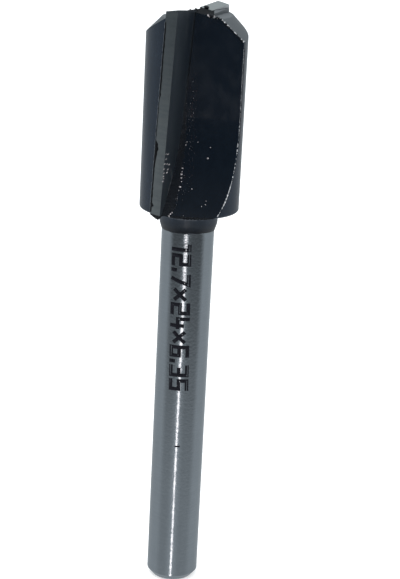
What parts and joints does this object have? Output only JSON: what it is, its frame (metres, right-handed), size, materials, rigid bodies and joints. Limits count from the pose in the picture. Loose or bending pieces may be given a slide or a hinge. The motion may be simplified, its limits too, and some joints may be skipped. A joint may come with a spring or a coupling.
{
  "type": "router bit",
  "caption": "Two-flute straight router bit: a steel shank and head carrying brazed carbide cutting tips.",
  "frame": {"origin": "centre of the shank's end face, on the axis of the bit", "axes": "+Z along the axis from the shank's end to the cutting end; +X and +Y across the bit, with the first cutting edge at about -115 degrees from +X at mid height"},
  "size_m": [0.012, 0.012, 0.072],
  "materials": {
    "body_steel": "ground steel on the shank, satin grey-blue hardened steel on the head",
    "carbide": "fine-ground sintered carbide, satin grey",
    "braze": "thin fillet of silver braze"
  },
  "bodies": {
    "root": {"steel_body": "body_steel", "carbide_tip_1": "carbide", "carbide_tip_2": "carbide", "braze_joint_1": "braze", "braze_joint_2": "braze"}
  },
  "joints": []
}
